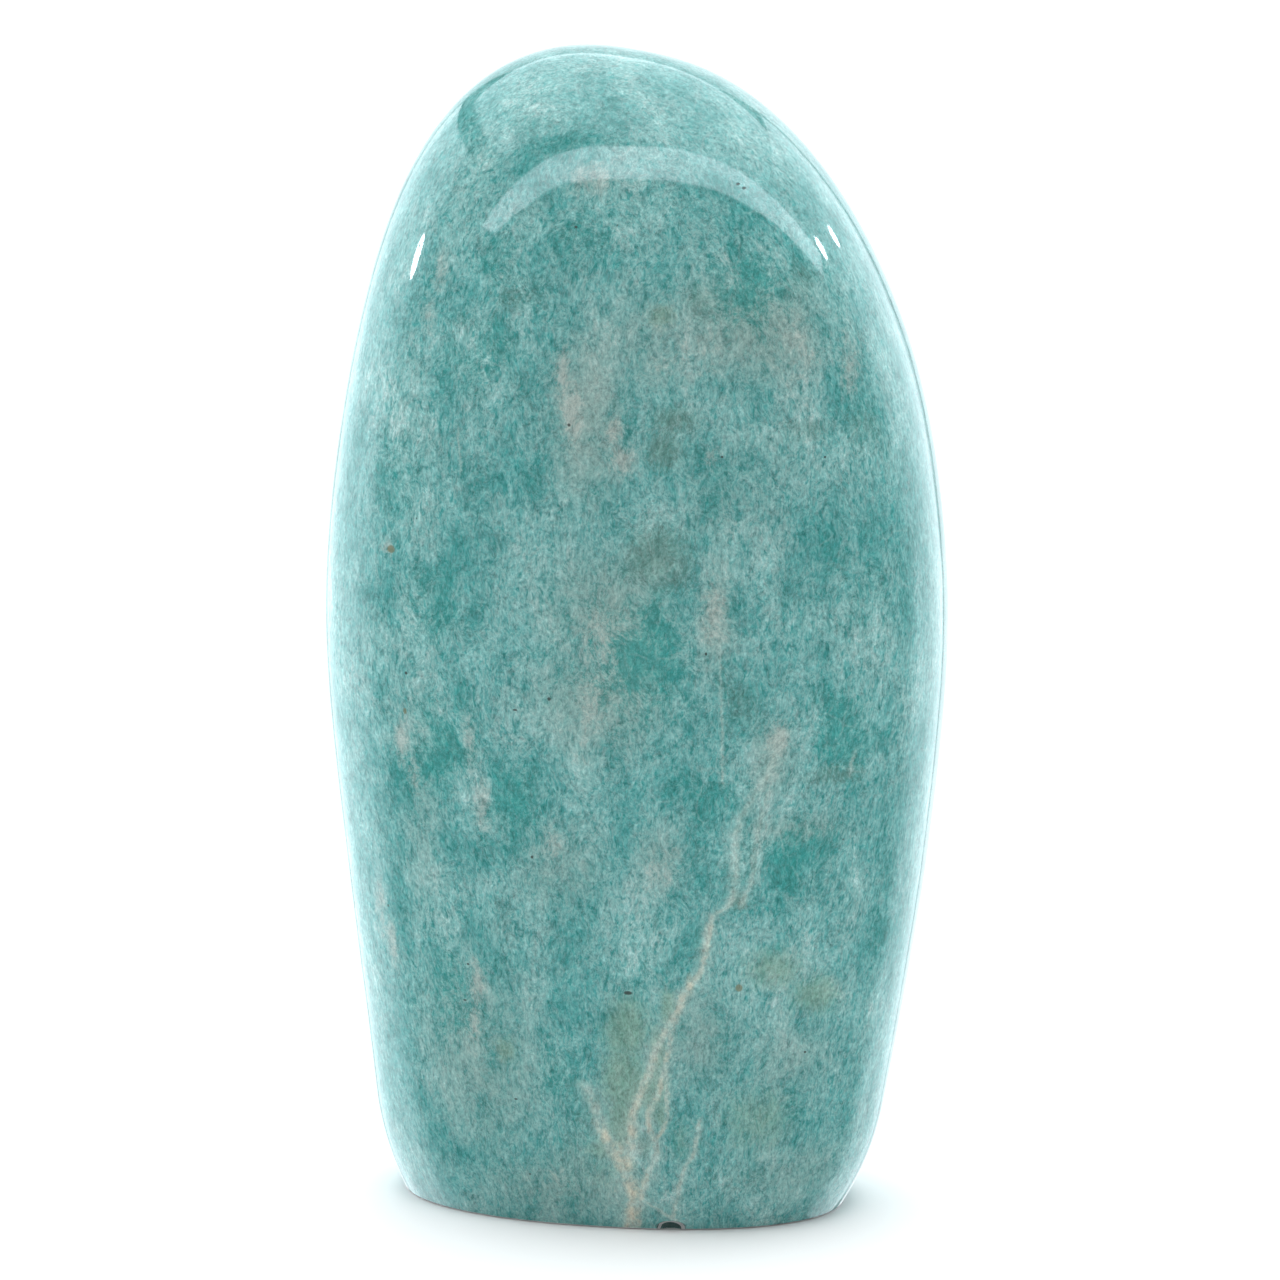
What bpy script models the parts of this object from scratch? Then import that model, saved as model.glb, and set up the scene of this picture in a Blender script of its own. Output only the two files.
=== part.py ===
"""Polished free-form standing stone of amazonite.

One solid, in metres, +Z up. The broad face looks along -Y. The stone stands on
its flat cut base in the plane z = 0, with the middle of its box over the origin.

Every level section is a rounded rectangle, the curve |x / a|**n + |y / b|**n = 1.
Its half width a and half depth b follow the height, so the stone swells from
its cut base to its widest part and closes in a domed, slightly tilted crown.
"""

import math

import bmesh
import bpy
import numpy as np

# Driving dimensions of the ground form
HEIGHT = 0.1480
WIDTH = 0.0788
DEPTH = 0.0520

# Foot: below the swell the sides draw in, a little more through than across
SWELL_HEIGHT = 0.0780
SWELL_SOFTNESS = 0.17
FOOT_WIDTH_SHARE = 0.74
FOOT_DEPTH_SHARE = 0.70
TUCK = 0.062
TUCK_HEIGHT = 0.0130
FOOT_OFFSET = -0.0015
FOOT_OFFSET_REACH = 0.0560

# Crown: how late and how tightly the narrow sides and the broad faces close
CROWN_WIDTH_POWER = 3.6
CROWN_WIDTH_ROUND = 0.425
CROWN_DEPTH_POWER = 8.0
CROWN_DEPTH_ROUND = 0.50
CROWN_TILT = 0.18
CROWN_TILT_START = 0.0900

# Level sections: oval at the foot and the crown, squarer between, with a fuller back
FOOT_SQUARENESS = 2.2
BODY_SQUARENESS = 2.5
CROWN_SQUARENESS = 2.3
BODY_START = 0.0400
BODY_END = 0.1000
BACK_FULLNESS = 1.08

# Ground edge round the cut base
EDGE_BEVEL = 0.0004
EDGE_SEGMENTS = 2

# Facets along the width, the depth and the height
FACETS = (24, 16, 40)

# The surface is found along lines that start at a point inside the stone
HEART_HEIGHT = 0.0700
SEARCH_REACH = 0.1200
SEARCH_STEPS = 40
OUTSIDE = 2.0
NEARLY_ONE = 0.999999
TINY = 1e-9

# A block's corner lies this far from its middle, within a small margin
BLOCK_EDGE = 0.999

# Corners sharper than this are shaded as edges
SHARP_ANGLE = math.radians(40.0)
ROUND_PROFILE = 0.5

# Finish: green-blue feldspar with a wet-looking polish
STONE_COLOUR = (0.19, 0.40, 0.36, 1.0)
STONE_ROUGHNESS = 0.08


def smooth_step(value):
    """0 below 0, 1 above 1, with a smooth rise between."""
    t = np.clip(value, 0.0, 1.0)
    return t * t * (3.0 - 2.0 * t)


def half_sizes(z):
    """Half width and half depth of the level section at height z."""
    below = 1.0 - z / SWELL_HEIGHT
    below = (below + np.sqrt(below**2 + SWELL_SOFTNESS**2)) / 2.0
    tuck = TUCK * np.clip(1.0 - z / TUCK_HEIGHT, 0.0, None) ** 2
    share = np.clip(z / HEIGHT, 0.0, NEARLY_ONE)
    wide = 1.0 - (1.0 - FOOT_WIDTH_SHARE) * below - tuck
    deep = 1.0 - (1.0 - FOOT_DEPTH_SHARE) * below - tuck
    wide = wide * (1.0 - share**CROWN_WIDTH_POWER) ** CROWN_WIDTH_ROUND
    deep = deep * (1.0 - share**CROWN_DEPTH_POWER) ** CROWN_DEPTH_ROUND
    return WIDTH / 2.0 * wide, DEPTH / 2.0 * deep


def fullness(x, y, z):
    """Below 1 inside the ground form, 1 on its surface, above 1 outside it."""
    crown = smooth_step((z - CROWN_TILT_START) / (HEIGHT - CROWN_TILT_START))
    z = z + CROWN_TILT * x * crown
    a, b = half_sizes(z)
    above = z >= HEIGHT
    x = x - FOOT_OFFSET * np.clip(1.0 - z / FOOT_OFFSET_REACH, 0.0, None) ** 2
    b = np.where(y > 0.0, BACK_FULLNESS * b, b)
    power = FOOT_SQUARENESS + (BODY_SQUARENESS - FOOT_SQUARENESS) * smooth_step(z / BODY_START)
    power = power + (CROWN_SQUARENESS - BODY_SQUARENESS) * smooth_step((z - BODY_END) / (HEIGHT - BODY_END))
    return np.where(above, OUTSIDE, np.abs(x / a) ** power + np.abs(y / b) ** power)


def reach(start, way):
    """Distance from each start along each unit way to the ground surface."""
    near = np.zeros(len(way))
    far = np.full(len(way), SEARCH_REACH)
    for _ in range(SEARCH_STEPS):
        middle = (near + far) / 2.0
        point = start + way * middle[:, None]
        inside = fullness(point[:, 0], point[:, 1], point[:, 2]) < 1.0
        near = np.where(inside, middle, near)
        far = np.where(inside, far, middle)
    return (near + far) / 2.0


def unit(vectors):
    return vectors / np.linalg.norm(vectors, axis=1)[:, None]


def ground_points(block):
    """Moves the points of a block that is 2 long each way onto the stone's surface."""
    flat = block[:, :2] * (WIDTH / 2.0, DEPTH / 2.0)
    length = np.maximum(np.linalg.norm(flat, axis=1), TINY)
    level = np.column_stack((flat / length[:, None], np.zeros(len(flat))))
    foot = reach(np.zeros(3), level)

    # Underside: the block's square outline becomes the outline of the cut base
    spread = np.max(np.abs(block[:, :2]), axis=1)
    base = level * (foot * spread)[:, None]

    # Walls and crown: each line's slope runs from the base edge to the top of the block
    rise = (block[:, 2] + 1.0) / 2.0
    slope = (1.0 - rise) * -HEART_HEIGHT / foot + rise * (HEIGHT - HEART_HEIGHT) / length
    heart = np.array((0.0, 0.0, HEART_HEIGHT))
    way = unit(np.column_stack((flat, slope * length)))
    wall = heart + way * reach(heart, way)[:, None]
    return np.where(block[:, 2:] < -BLOCK_EDGE, base, wall)


def cut_along(bm, axis, pieces):
    """Cuts every edge that runs along an axis into equal pieces."""
    runs = [e for e in bm.edges if abs(e.verts[0].co[axis] - e.verts[1].co[axis]) > TINY]
    bmesh.ops.subdivide_edges(bm, edges=runs, cuts=pieces - 1, use_grid_fill=True)


def stone_mesh():
    """A gridded block, moved onto the ground form, with a ground edge round its base."""
    bm = bmesh.new()
    bmesh.ops.create_cube(bm, size=2.0)
    for axis, pieces in enumerate(FACETS):
        cut_along(bm, axis, pieces)
    rim = [
        e
        for e in bm.edges
        if all(v.co.z < -BLOCK_EDGE and max(abs(v.co.x), abs(v.co.y)) > BLOCK_EDGE for v in e.verts)
    ]
    block = np.array([tuple(v.co) for v in bm.verts])
    for vert, point in zip(bm.verts, fitted(ground_points(block))):
        vert.co = point
    bmesh.ops.bevel(
        bm,
        geom=rim,
        offset=EDGE_BEVEL,
        offset_type="OFFSET",
        segments=EDGE_SEGMENTS,
        profile=ROUND_PROFILE,
        affect="EDGES",
    )
    bmesh.ops.recalc_face_normals(bm, faces=bm.faces)
    mesh = bpy.data.meshes.new("amazonite_stone")
    bm.to_mesh(mesh)
    bm.free()
    return mesh


def fitted(points):
    """Gives the form its stated width, depth and height, centred over the origin on z = 0."""
    low = points.min(axis=0)
    high = points.max(axis=0)
    middle = ((low[0] + high[0]) / 2.0, (low[1] + high[1]) / 2.0, low[2])
    return (points - middle) * (WIDTH, DEPTH, HEIGHT) / (high - low)


def polished_amazonite():
    material = bpy.data.materials.new("polished_amazonite")
    material.use_nodes = True
    shader = material.node_tree.nodes["Principled BSDF"]
    shader.inputs["Base Color"].default_value = STONE_COLOUR
    shader.inputs["Roughness"].default_value = STONE_ROUGHNESS
    shader.inputs["Metallic"].default_value = 0.0
    return material


def make_stone():
    """The one piece: the whole stone."""
    mesh = stone_mesh()
    mesh.shade_smooth()
    mesh.set_sharp_from_angle(angle=SHARP_ANGLE)
    mesh.materials.append(polished_amazonite())
    stone = bpy.data.objects.new("amazonite_stone", mesh)
    bpy.context.scene.collection.objects.link(stone)
    return stone


def main():
    for item in list(bpy.data.objects):
        bpy.data.objects.remove(item, do_unlink=True)
    make_stone()


main()
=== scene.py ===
"""A polished, free-standing stone of amazonite, its natural colours, and a small studio round it."""

import functools
import math

import bmesh
import bpy
import numpy as np
from bpy.props import FloatProperty, FloatVectorProperty, IntProperty, PointerProperty
from mathutils import Matrix, Vector
from mathutils.bvhtree import BVHTree


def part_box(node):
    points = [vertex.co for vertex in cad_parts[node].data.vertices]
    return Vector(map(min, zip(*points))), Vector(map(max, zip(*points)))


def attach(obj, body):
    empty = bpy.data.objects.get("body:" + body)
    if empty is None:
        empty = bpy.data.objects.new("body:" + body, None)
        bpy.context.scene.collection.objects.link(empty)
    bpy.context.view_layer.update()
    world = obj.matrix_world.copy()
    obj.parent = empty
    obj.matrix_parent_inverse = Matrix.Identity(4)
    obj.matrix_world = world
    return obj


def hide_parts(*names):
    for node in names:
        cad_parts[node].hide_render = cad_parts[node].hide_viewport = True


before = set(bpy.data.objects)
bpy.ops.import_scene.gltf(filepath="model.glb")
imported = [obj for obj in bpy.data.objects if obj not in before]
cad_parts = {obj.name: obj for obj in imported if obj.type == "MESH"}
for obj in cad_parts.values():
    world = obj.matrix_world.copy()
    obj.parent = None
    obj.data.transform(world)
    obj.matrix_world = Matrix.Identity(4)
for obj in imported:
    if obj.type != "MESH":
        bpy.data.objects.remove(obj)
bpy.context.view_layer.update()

bl_info = {
    "name": "Polished amazonite stone",
    "version": (1, 0, 0),
    "blender": (4, 5, 0),
    "location": "3D View > Sidebar > Amazonite",
    "description": "Makes a polished standing stone of amazonite and the studio it stands in",
    "category": "Add Mesh",
}

LOW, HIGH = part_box("amazonite_stone")
SIZE = HIGH - LOW

# The picture is square, and places on the stone are given in its pixels, across and down
FRAME_PIXELS = 1280
PIXELS_PER_MM = 7.888
SENSOR_WIDTH = 36.0
MM = 0.001

# Search for the ground surface
BLOCK_SIZE = 2.0
SEARCH_REACH = 0.12
SEARCH_STEPS = 24
OUTSIDE = 2.0
NEARLY_ONE = 0.999999
TINY = 1e-9
BLOCK_EDGE = 0.999

# The slight dent in the front of the crown that bends the long reflection there
DENT_PLACE = (-0.0048, -0.0204, 0.1326)
DENT_RADIUS = 0.0050

# The relief fades out towards the base, between two heights, and each seed moves its pattern
RELIEF_FADE = (0.002, 0.014)
SEED_STEP = 0.37

# Ground edge round the cut base
EDGE_BEVEL = 0.0004
EDGE_SEGMENTS = 2
EDGE_PROFILE = 0.5
EDGE_ANGLE = math.radians(45.0)
EDGE_HEIGHT = 0.0005

# The small chip in the front of the base edge: its place in the picture and its radii
CHIP_PIXEL = (671, 1227)
CHIP_RADII = (0.0018, 0.0014, 0.0009)
CHIP_INWARD = Vector((0.0, 0.75, 0.66))
CHIP_FINE_REACH = 0.0028
CHIP_FINE_CUTS = 3
# The chip's mask reaches a little past the scoop. The colour it lays is partly the unpolished break and
# partly painted shade, and it also covers the rim round the chip
CHIP_BREAK_AND_SHADE_REACH = 1.2
CHIP_BREAK_AND_SHADE_SHARPNESS = 4.0

# Patches on the broad face: pixel across and down, half width and half height in pixels, strength
DEEP_POCKETS = (
    (643, 662, 40, 48, 1.0), (612, 690, 26, 34, 0.6), (440, 742, 36, 52, 0.85), (507, 798, 24, 34, 0.8),
    (481, 354, 38, 34, 0.8), (430, 610, 30, 40, 0.7), (400, 470, 26, 60, 0.6), (843, 730, 34, 46, 0.8),
    (779, 850, 58, 34, 0.6), (560, 1075, 24, 34, 0.55), (452, 985, 22, 60, 0.5), (640, 950, 26, 42, 0.6),
    (725, 790, 40, 30, 0.4), (745, 280, 46, 34, 0.6), (590, 225, 60, 26, 0.45), (500, 270, 34, 40, 0.55),
    (550, 640, 24, 60, 0.4), (530, 121, 50, 20, 0.6), (865, 600, 26, 50, 0.45), (880, 440, 24, 40, 0.4),
)
CREAM_STREAKS = (
    (562, 372, 9, 26, 0.9), (572, 412, 10, 30, 0.8), (615, 432, 10, 14, 1.0), (622, 458, 13, 16, 1.0),
    (470, 742, 8, 34, 0.7), (482, 812, 9, 34, 0.7), (401, 745, 8, 40, 0.7), (413, 780, 8, 22, 0.7),
    (380, 900, 8, 34, 0.7), (392, 940, 7, 30, 0.8), (478, 985, 8, 26, 0.9), (474, 1024, 9, 26, 0.7),
    (550, 845, 16, 26, 0.6), (850, 374, 10, 26, 0.9), (845, 345, 8, 18, 0.6), (710, 457, 14, 12, 0.8),
    (715, 612, 16, 30, 0.7), (778, 738, 12, 18, 0.9), (440, 272, 9, 24, 0.7), (428, 312, 9, 22, 0.6),
    (590, 180, 26, 14, 0.8), (598, 640, 30, 40, 0.5), (590, 700, 16, 40, 0.5), (668, 870, 30, 40, 0.4),
    (388, 548, 8, 7, 0.9), (560, 1180, 40, 26, 0.4), (790, 350, 50, 60, 0.35), (690, 345, 60, 40, 0.35),
)
SMOKY_PATCHES = (
    (657, 555, 30, 32, 0.9), (676, 420, 24, 14, 0.8), (664, 452, 20, 20, 0.8), (807, 432, 24, 14, 0.6),
    (700, 300, 16, 20, 0.6), (805, 280, 16, 24, 0.5), (862, 430, 18, 26, 0.5), (835, 775, 44, 10, 0.6),
    (515, 300, 30, 22, 0.4), (740, 901, 6, 9, 1.0), (745, 710, 22, 40, 0.4), (735, 1100, 50, 26, 0.3),
    (645, 1147, 8, 14, 1.0), (575, 1150, 24, 34, 0.5), (740, 1180, 50, 24, 0.4), (500, 920, 20, 40, 0.3),
)
OLIVE_PATCHES = (
    (774, 969, 26, 22, 0.7), (815, 995, 22, 20, 0.8), (505, 1050, 10, 14, 0.8), (601, 1150, 14, 12, 0.7),
    (760, 1120, 40, 34, 0.6), (626, 1030, 22, 34, 0.9), (624, 1082, 22, 36, 1.0),
    (622, 1120, 14, 26, 1.0), (655, 1090, 12, 40, 0.8), (662, 315, 12, 10, 0.8),
    (604, 1170, 24, 22, 0.4), (668, 1010, 7, 22, 0.9), (658, 1050, 7, 22, 1.0), (647, 1092, 7, 20, 1.0),
    (661, 1117, 5, 14, 1.0), (680, 1140, 12, 26, 0.5),
)
PALE_VEILS = (
    (760, 330, 90, 50, 0.8), (655, 345, 60, 60, 0.5), (590, 420, 40, 90, 0.7), (610, 610, 60, 60, 0.7),
    (600, 700, 60, 60, 0.7), (715, 500, 40, 60, 0.4), (715, 620, 22, 60, 0.6), (750, 480, 60, 70, 0.3),
    (420, 800, 30, 140, 0.4), (480, 1060, 70, 110, 0.6), (560, 1190, 90, 40, 0.6),
    (560, 870, 50, 50, 0.5), (700, 1040, 40, 60, 0.6), (790, 1060, 50, 50, 0.5),
    (800, 1170, 60, 40, 0.5), (660, 860, 30, 40, 0.5), (800, 830, 50, 16, 0.6), (770, 760, 20, 40, 0.6),
)

# How deep into the stone a patch reaches, and how steeply it falls off from its middle
PATCH_DEPTH = 0.006
PATCH_FALL = 0.7

# Patches in the order they are laid: places, strength, fraying, and the mask values where they set in
PATCH_KINDS = {
    "haze": (PALE_VEILS, 0.66, 0.5, (0.1, 0.9)),
    "pocket": (DEEP_POCKETS, 0.68, -1.5, (0.12, 1.0)),
    "smoky": (SMOKY_PATCHES, 0.62, -0.5, (0.15, 0.85)),
    "olive": (OLIVE_PATCHES, 0.62, 0.4, (0.12, 0.85)),
    "cream": (CREAM_STREAKS, 0.52, 0.9, (0.26, 0.95)),
}
FRAY_BY_CLOUD = 1.4
FRAY_BY_MOTTLE = 2.2

# Veins: the course in pixels, half width in mm at top and bottom, strength and warmth at top and bottom
VEINS = {
    "main": (
        ((712, 920), (706, 946), (703, 964), (695, 981), (684, 993), (678, 1010), (671, 1022), (664, 1034),
         (655, 1052), (648, 1077), (639, 1097), (633, 1116), (632, 1132), (630, 1155), (625, 1165),
         (628, 1183), (632, 1206), (629, 1228)),
        (0.42, 0.75), (0.95, 1.0), (0.45, 0.9),
    ),
    "right_strand": (
        ((684, 1002), (676, 1020), (671, 1034), (667, 1059), (662, 1077), (657, 1095), (650, 1112),
         (648, 1124), (654, 1138), (656, 1153), (650, 1168), (644, 1187), (640, 1206), (636, 1226)),
        (0.42, 0.5), (0.7, 0.9), (0.8, 0.9),
    ),
    "lens_edge": (
        ((668, 1061), (666, 1080), (667, 1098), (667, 1112), (664, 1126), (656, 1142)),
        (0.28, 0.34), (0.6, 0.8), (0.5, 0.8),
    ),
    "left_branch": (
        ((582, 1080), (593, 1100), (598, 1116), (603, 1132), (610, 1146), (618, 1160), (626, 1170)),
        (0.85, 0.95), (0.6, 0.9), (0.3, 0.7),
    ),
    "right_branch": (
        ((700, 1118), (697, 1136), (693, 1155), (684, 1171), (680, 1185), (676, 1206), (672, 1218)),
        (0.32, 0.34), (0.75, 0.8), (0.25, 0.45),
    ),
    "foot_hook": (
        ((641, 1196), (645, 1201), (654, 1207), (664, 1213), (676, 1221)),
        (0.35, 0.45), (0.6, 0.8), (0.3, 0.5),
    ),
    "upper": (
        ((784, 729), (778, 743), (774, 759), (770, 770), (761, 786), (747, 807), (738, 828), (735, 839),
         (735, 857), (735, 876), (733, 892), (728, 906), (715, 915), (708, 929), (704, 950)),
        (0.5, 0.5), (0.45, 0.75), (0.15, 0.25),
    ),
    "upper_right": (
        ((770, 789), (765, 807), (758, 828), (756, 844), (753, 872), (747, 892), (742, 906)),
        (0.4, 0.4), (0.45, 0.55), (0.1, 0.1),
    ),
    "long_crack": (
        ((719, 640), (721, 694), (722, 740), (723, 784)),
        (0.2, 0.14), (0.3, 0.6), (0.1, 0.1),
    ),
    "side_crack": (
        ((856, 748), (853, 760), (850, 774)),
        (0.16, 0.16), (0.6, 0.5), (0.1, 0.1),
    ),
    "left_crack": (
        ((458, 425), (460, 450), (461, 472)),
        (0.1, 0.1), (0.5, 0.4), (0.1, 0.1),
    ),
}

# A vein's slant with depth, its core, edge and haze against its half width, and its ends' fades in mm
VEIN_SLANT = 0.35
VEIN_MARGIN = 1.0
VEIN_CORE = 0.2
VEIN_EDGE = 1.5
VEIN_HAZE = 4.0
LOWER_END = (-0.8, 0.2)
UPPER_END = (-1.0, 0.6)

# Bright cream lumps where the veins meet: pixel across and down, half width and half height in mm
CREAM_LUMPS = (
    (625, 1163, 1.3, 1.3), (634, 1190, 0.9, 1.9), (631, 1216, 0.8, 1.4), (618, 1150, 0.8, 1.2),
    (606, 1136, 0.6, 1.0), (690, 985, 0.5, 1.5),
)

# How far out a lump and a speck fade against their half sizes, and their least half depth in mm
LUMP_FADE = (0.2, 1.5)
SPECK_FADE = (0.7, 1.25)
THINNEST_SPECK = 0.3

# Specks: pixel across and down, half width and half height in mm
DARK_SPECKS = (
    (628, 993, 0.55, 0.26), (515, 710, 0.3, 0.13), (406, 673, 0.2, 0.2), (549, 699, 0.22, 0.22),
    (569, 425, 0.2, 0.2), (532, 857, 0.16, 0.2), (468, 964, 0.18, 0.14), (465, 1000, 0.22, 0.12),
    (516, 1099, 0.24, 0.12), (706, 654, 0.16, 0.2), (722, 457, 0.16, 0.16), (825, 457, 0.14, 0.14),
    (738, 184, 0.26, 0.16), (744, 188, 0.26, 0.16), (576, 227, 0.2, 0.16), (805, 1052, 0.16, 0.16),
    (530, 1174, 0.2, 0.1),
)
RUST_SPECKS = (
    (739, 988, 0.45, 0.5), (405, 711, 0.25, 0.4), (391, 549, 0.6, 0.5),
)

# Offsets that keep patterns of the same kind of noise apart
GAP_SHIFT = 31.0
HAIR_SHIFT = 12.0
MOTTLE_SHIFT = 83.0
GRAIN_SHIFT = 57.0
CRACK_SHIFT = 11.0
FILLING_SHIFT = 29.0
WARMTH_SHIFT = 19.0

# How pale the veil of threads makes the stone, and where each body colour lies on that scale
VEIL_LEVEL = 0.50
CLOUD_WEIGHT = 1.3
THREAD_WEIGHT = 0.16
HAIR_WEIGHT = 0.16
GAP_WEIGHT = 0.26
MEAN_THREAD = 0.45
MEAN_HAIR = 0.3
COLOUR_STOPS = {"darkest": 0.05, "teal": 0.28, "middle": 0.5, "pale": 0.72, "palest": 0.95}

# Light and dark of the fine grain, and strengths of what lies over the body
GRAIN_CONTRAST = 1.4
MOTTLE_CONTRAST = 1.3
CRACK_STRENGTH = 0.22
CRACK_ZONE = (-22.0, 14.0)
FEWEST_CRACKS = 0.12
HAZE_STRENGTH = 0.30
FILLING_STRENGTH = 0.72
WARM_STRENGTH = 0.8
LUMP_STRENGTH = 0.6
SPRINKLE_STRENGTH = 0.75
SPECK_STRENGTH = 0.9
RUST_STRENGTH = 0.35
RUST_BY_GRAIN = 0.6

# Dullness of the cut base, the chip, a speck and the grain, a speck's pit, and the stone's refraction
DULL_HEIGHTS = (0.02, 0.3)
BASE_DULLNESS = 0.4
CHIP_DULLNESS = 0.4
SPECK_DULLNESS = 0.3
GRAIN_DULLNESS = 0.02
PIT_STRENGTH = 0.25
PIT_DEPTH = 0.00004
STONE_IOR = 1.53

# Panels of the light tent: two corners, facing, strength, share of its sides that fades, turn in degrees
PANELS = {
    "left wall": ((-0.25, -0.06, -0.30), (-0.25, 0.55, 0.295), "right", 2.1, (0.18, 0.0), 0.0),
    "right wall": ((0.25, -0.02, -0.30), (0.25, 0.55, 0.353), "left", 1.7, (0.18, 0.0), 0.0),
    "right shoulder": ((0.25, -0.06, 0.235), (0.25, 0.02, 0.353), "left", 1.6, (0.2, 0.12), 0.0),
    "back wall": ((-0.25, 0.55, -0.30), (0.25, 0.55, 0.60), "forward", 1.1, (0.0, 0.0), 0.0),
    "strip": ((-0.80, -0.282, 0.434), (0.60, -0.160, 0.434), "down", 3.9, (0.0, 0.06), 20.0),
    "ceiling": ((-0.60, -0.27, 0.62), (0.60, 0.70, 0.62), "down", 2.0, (0.1, 0.06), 0.0),
}

# Small lamps: middle, width and height, facing, strength
LAMPS = {
    "left lamp": ((-0.249, 0.012, 0.174), (0.020, 0.030), "right", 30.0),
    "right lamp": ((0.249, 0.027, 0.246), (0.020, 0.023), "left", 30.0),
    "far right lamp": ((0.249, 0.135, 0.230), (0.030, 0.020), "left", 15.0),
}

# The slightly blue light of the panels and lamps
PANEL_LIGHT = (0.9, 1.0, 1.06)

# The white backdrop and the pale floor
BACKDROP = 1.2
FLOOR_HALF = 3.0
FLOOR_COLOUR = (0.9, 0.9, 0.9, 1.0)
FLOOR_ROUGHNESS = 0.9


def linear(red, green, blue):
    """A colour given as 0 to 255 screen values, as the linear light that shaders use."""
    return tuple(
        c / 12.92 if c <= 0.04045 else ((c + 0.055) / 1.055) ** 2.4
        for c in (red / 255.0, green / 255.0, blue / 255.0)
    )


def size_prop(name, description, default):
    return FloatProperty(name=name, description=description, default=default, unit="LENGTH", precision=4)


def share_prop(name, description, default):
    return FloatProperty(name=name, description=description, default=default, precision=3)


def angle_prop(name, description, degrees):
    return FloatProperty(name=name, description=description, default=math.radians(degrees), subtype="ANGLE")


def colour_prop(name, description, default):
    return FloatVectorProperty(
        name=name, description=description, default=linear(*default), subtype="COLOR", min=0.0, max=1.0
    )


def add_object(name, data):
    """A new object in the scene."""
    item = bpy.data.objects.new(name, data)
    bpy.context.scene.collection.objects.link(item)
    return item


class StoneForm(bpy.types.PropertyGroup):
    """Sizes of the ground form, each an input of its node tree."""

    width: size_prop("Width", "Across the broad face", SIZE.x)
    depth: size_prop("Depth", "Through the stone", SIZE.y)
    height: size_prop("Height", "From the cut base to the crown", SIZE.z)
    swell_height: size_prop("Swell Height", "Height of the widest part", 0.078)
    swell_softness: share_prop("Swell Softness", "How gently the foot meets the swell", 0.17)
    foot_width: share_prop("Foot Width Share", "Width of the foot against the swell", 0.74)
    foot_depth: share_prop("Foot Depth Share", "Depth of the foot against the swell", 0.70)
    tuck: share_prop("Tuck", "How much the base edge draws in", 0.062)
    tuck_height: size_prop("Tuck Height", "Height that the drawn-in edge reaches", 0.013)
    foot_offset: size_prop("Foot Offset", "How far the foot sits to one side", -0.0015)
    foot_reach: size_prop("Foot Offset Reach", "Height over which the foot's offset fades", 0.056)
    width_power: share_prop("Crown Width Power", "How late the narrow sides close", 3.6)
    width_round: share_prop("Crown Width Round", "How tightly the narrow sides close", 0.425)
    depth_power: share_prop("Crown Depth Power", "How late the broad faces close", 8.0)
    depth_round: share_prop("Crown Depth Round", "How tightly the broad faces close", 0.50)
    crown_tilt: share_prop("Crown Tilt", "Lean of the crown", 0.18)
    tilt_start: size_prop("Crown Tilt Start", "Height where the crown begins to lean", 0.090)
    foot_square: share_prop("Foot Squareness", "Power of the level section at the foot", 2.2)
    body_square: share_prop("Body Squareness", "Power of the level section in the body", 2.5)
    crown_square: share_prop("Crown Squareness", "Power of the level section at the crown", 2.3)
    body_start: size_prop("Body Start", "Height where the body section begins", 0.040)
    body_end: size_prop("Body End", "Height where the body section ends", 0.100)
    back_fullness: share_prop("Back Fullness", "Depth of the back against the front", 1.08)
    heart_height: size_prop("Heart Height", "Height of the point the surface is found from", 0.070)
    relief: size_prop("Relief", "Height of the broad unevenness left by hand polishing", 0.00022)
    relief_size: size_prop("Relief Size", "Width of one swell of that unevenness", 0.026)
    ripple: size_prop("Ripple", "Height of the finer unevenness", 0.00003)
    ripple_size: size_prop("Ripple Size", "Width of one swell of the finer unevenness", 0.008)
    dent: size_prop("Dent", "Depth of the dent in the front of the crown", 0.00007)
    seed: IntProperty(name="Seed", description="Picks another pattern of unevenness", default=3)
    cells_x: IntProperty(name="Facets Across", description="Facets across the stone", default=108)
    cells_y: IntProperty(name="Facets Through", description="Facets through the stone", default=72)
    cells_z: IntProperty(name="Facets Up", description="Facets up the stone", default=206)


class StoneFinish(bpy.types.PropertyGroup):
    """Colours and polish of the stone."""

    darkest: colour_prop("Darkest", "Deep gaps between the threads", (46, 122, 119))
    teal: colour_prop("Teal", "The common body colour", (66, 146, 143))
    middle: colour_prop("Middle", "Body colour under a thin veil of threads", (95, 160, 158))
    pale: colour_prop("Pale", "Thick pale threads", (132, 183, 180))
    palest: colour_prop("Palest", "The palest wisps", (178, 208, 205))
    pocket: colour_prop("Pocket", "Clear deep-coloured pockets", (44, 144, 138))
    cream: colour_prop("Cream", "Pinkish cream streaks", (176, 178, 171))
    smoky: colour_prop("Smoky", "Smoky grey patches", (98, 134, 124))
    olive: colour_prop("Olive", "Greenish grey patches", (126, 156, 136))
    haze: colour_prop("Haze", "Broad greyish veils", (146, 166, 159))
    vein_pale: colour_prop("Pale Vein", "Whitish vein filling", (186, 204, 196))
    vein_warm: colour_prop("Warm Vein", "Cream and orange vein filling", (202, 194, 172))
    rust: colour_prop("Rust", "Rust spots", (120, 110, 70))
    speck: colour_prop("Speck", "Black specks", (28, 44, 40))
    # Partly the colour of an unpolished break, partly painted shade: darker than the body, standing in for
    # the shade inside the chip
    chip: colour_prop("Chip", "Unpolished break", (50, 82, 78))
    polish: share_prop("Polish", "Roughness of the polish", 0.055)


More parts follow.
